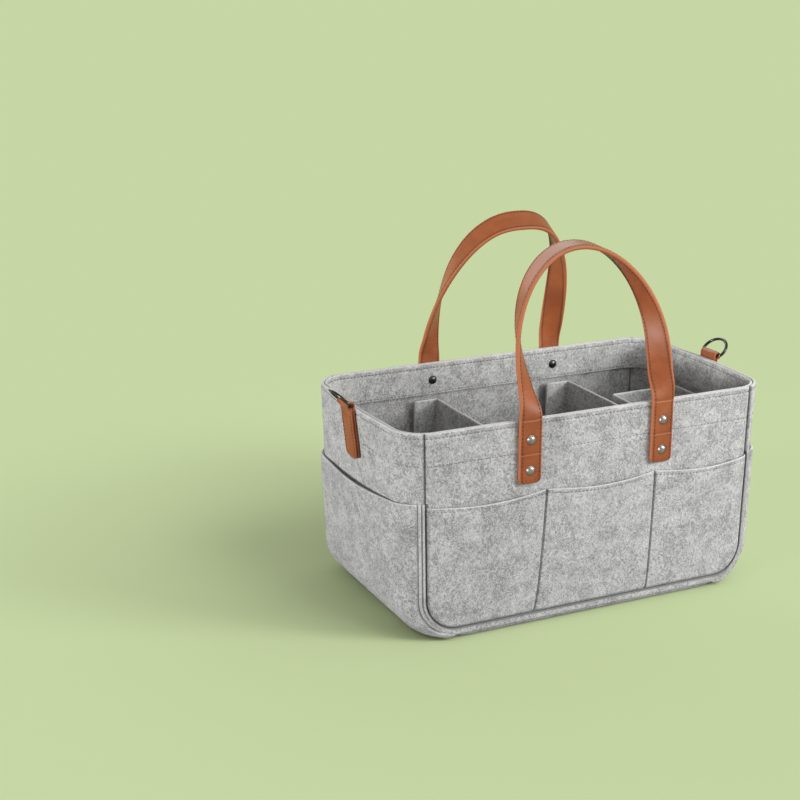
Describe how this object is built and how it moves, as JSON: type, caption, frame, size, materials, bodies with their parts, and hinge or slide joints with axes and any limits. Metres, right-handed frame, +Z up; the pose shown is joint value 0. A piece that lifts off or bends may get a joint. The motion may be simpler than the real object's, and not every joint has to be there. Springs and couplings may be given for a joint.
{
  "type": "diaper caddy",
  "caption": "Rectangular felt diaper caddy with outer pockets, lift-out dividers, folding leather carry handles and D-rings at its ends.",
  "frame": {"origin": "middle of the floor's underside", "axes": "+X along the caddy to its right end, +Y from the front wall to the rear wall, +Z up"},
  "size_m": [0.395, 0.2116, 0.3206],
  "materials": {
    "felt": "light heather grey needle felt, matt",
    "felt_inner": "heather grey needle felt, matt",
    "tape": "grey hook and loop tape",
    "board": "grey board stiffener",
    "leather": "tan leather, fine grain, satin",
    "nickel": "polished nickel plate",
    "gunmetal": "black nickel plate, glossy"
  },
  "bodies": {
    "caddy": {"front_wall": "felt", "rear_wall": "felt", "gusset": "felt", "front_edge_roll": "felt", "rear_edge_roll": "felt", "front_pocket_panel": "felt", "rear_pocket_panel": "felt", "left_end_pocket": "felt", "right_end_pocket": "felt", "rim_facing": "felt_inner", "base_board": "board", "divider_left_front_loop": "tape", "divider_left_rear_loop": "tape", "divider_right_front_loop": "tape", "divider_right_rear_loop": "tape", "box_divider_front_loop": "tape", "box_divider_end_loop": "tape", "front_handle_left_end": "leather", "front_handle_right_end": "leather", "rear_handle_left_end": "leather", "rear_handle_right_end": "leather", "front_left_lower_rivet": "nickel", "front_left_upper_rivet": "nickel", "front_right_lower_rivet": "nickel", "front_right_upper_rivet": "nickel", "rear_left_lower_rivet": "nickel", "rear_left_upper_rivet": "nickel", "rear_right_lower_rivet": "nickel", "rear_right_upper_rivet": "nickel", "front_left_lower_cap": "nickel", "front_left_upper_cap": "nickel", "front_right_lower_cap": "nickel", "front_right_upper_cap": "nickel", "rear_left_lower_cap": "nickel", "rear_left_upper_cap": "nickel", "rear_right_lower_cap": "nickel", "rear_right_upper_cap": "nickel", "left_tab": "leather", "right_tab": "leather"},
    "front_handle": {"front_handle_arch": "leather"},
    "rear_handle": {"rear_handle_arch": "leather"},
    "divider_left": {"divider_left": "felt_inner", "divider_left_front_hook": "tape", "divider_left_rear_hook": "tape"},
    "divider_right": {"divider_right": "felt_inner", "divider_right_front_hook": "tape", "divider_right_rear_hook": "tape"},
    "box_divider": {"box_divider": "felt_inner", "box_divider_front_hook": "tape", "box_divider_end_hook": "tape"},
    "left_ring": {"left_d_ring": "gunmetal"},
    "right_ring": {"right_d_ring": "gunmetal"}
  },
  "joints": [
    {"name": "front_handle_fold", "type": "hinge", "parent": "caddy", "child": "front_handle", "pos_m": [0, -0.0981, 0.182], "axis": [1, 0, 0], "range_deg": [-20, 110]},
    {"name": "rear_handle_fold", "type": "hinge", "parent": "caddy", "child": "rear_handle", "pos_m": [0, 0.0981, 0.182], "axis": [-1, 0, 0], "range_deg": [-16, 92]},
    {"name": "divider_left_lift", "type": "slide", "parent": "caddy", "child": "divider_left", "axis": [0, 0, 1], "range_m": [0, 0.035]},
    {"name": "divider_right_lift", "type": "slide", "parent": "caddy", "child": "divider_right", "axis": [0, 0, 1], "range_m": [0, 0.035]},
    {"name": "box_divider_lift", "type": "slide", "parent": "caddy", "child": "box_divider", "axis": [0, 0, 1], "range_m": [0, 0.035]},
    {"name": "left_ring_swing", "type": "hinge", "parent": "caddy", "child": "left_ring", "pos_m": [-0.182, 0, 0.183], "axis": [0, -1, 0], "range_deg": [-60, 120]},
    {"name": "right_ring_swing", "type": "hinge", "parent": "caddy", "child": "right_ring", "pos_m": [0.182, 0, 0.183], "axis": [0, 1, 0], "range_deg": [-60, 120]}
  ]
}
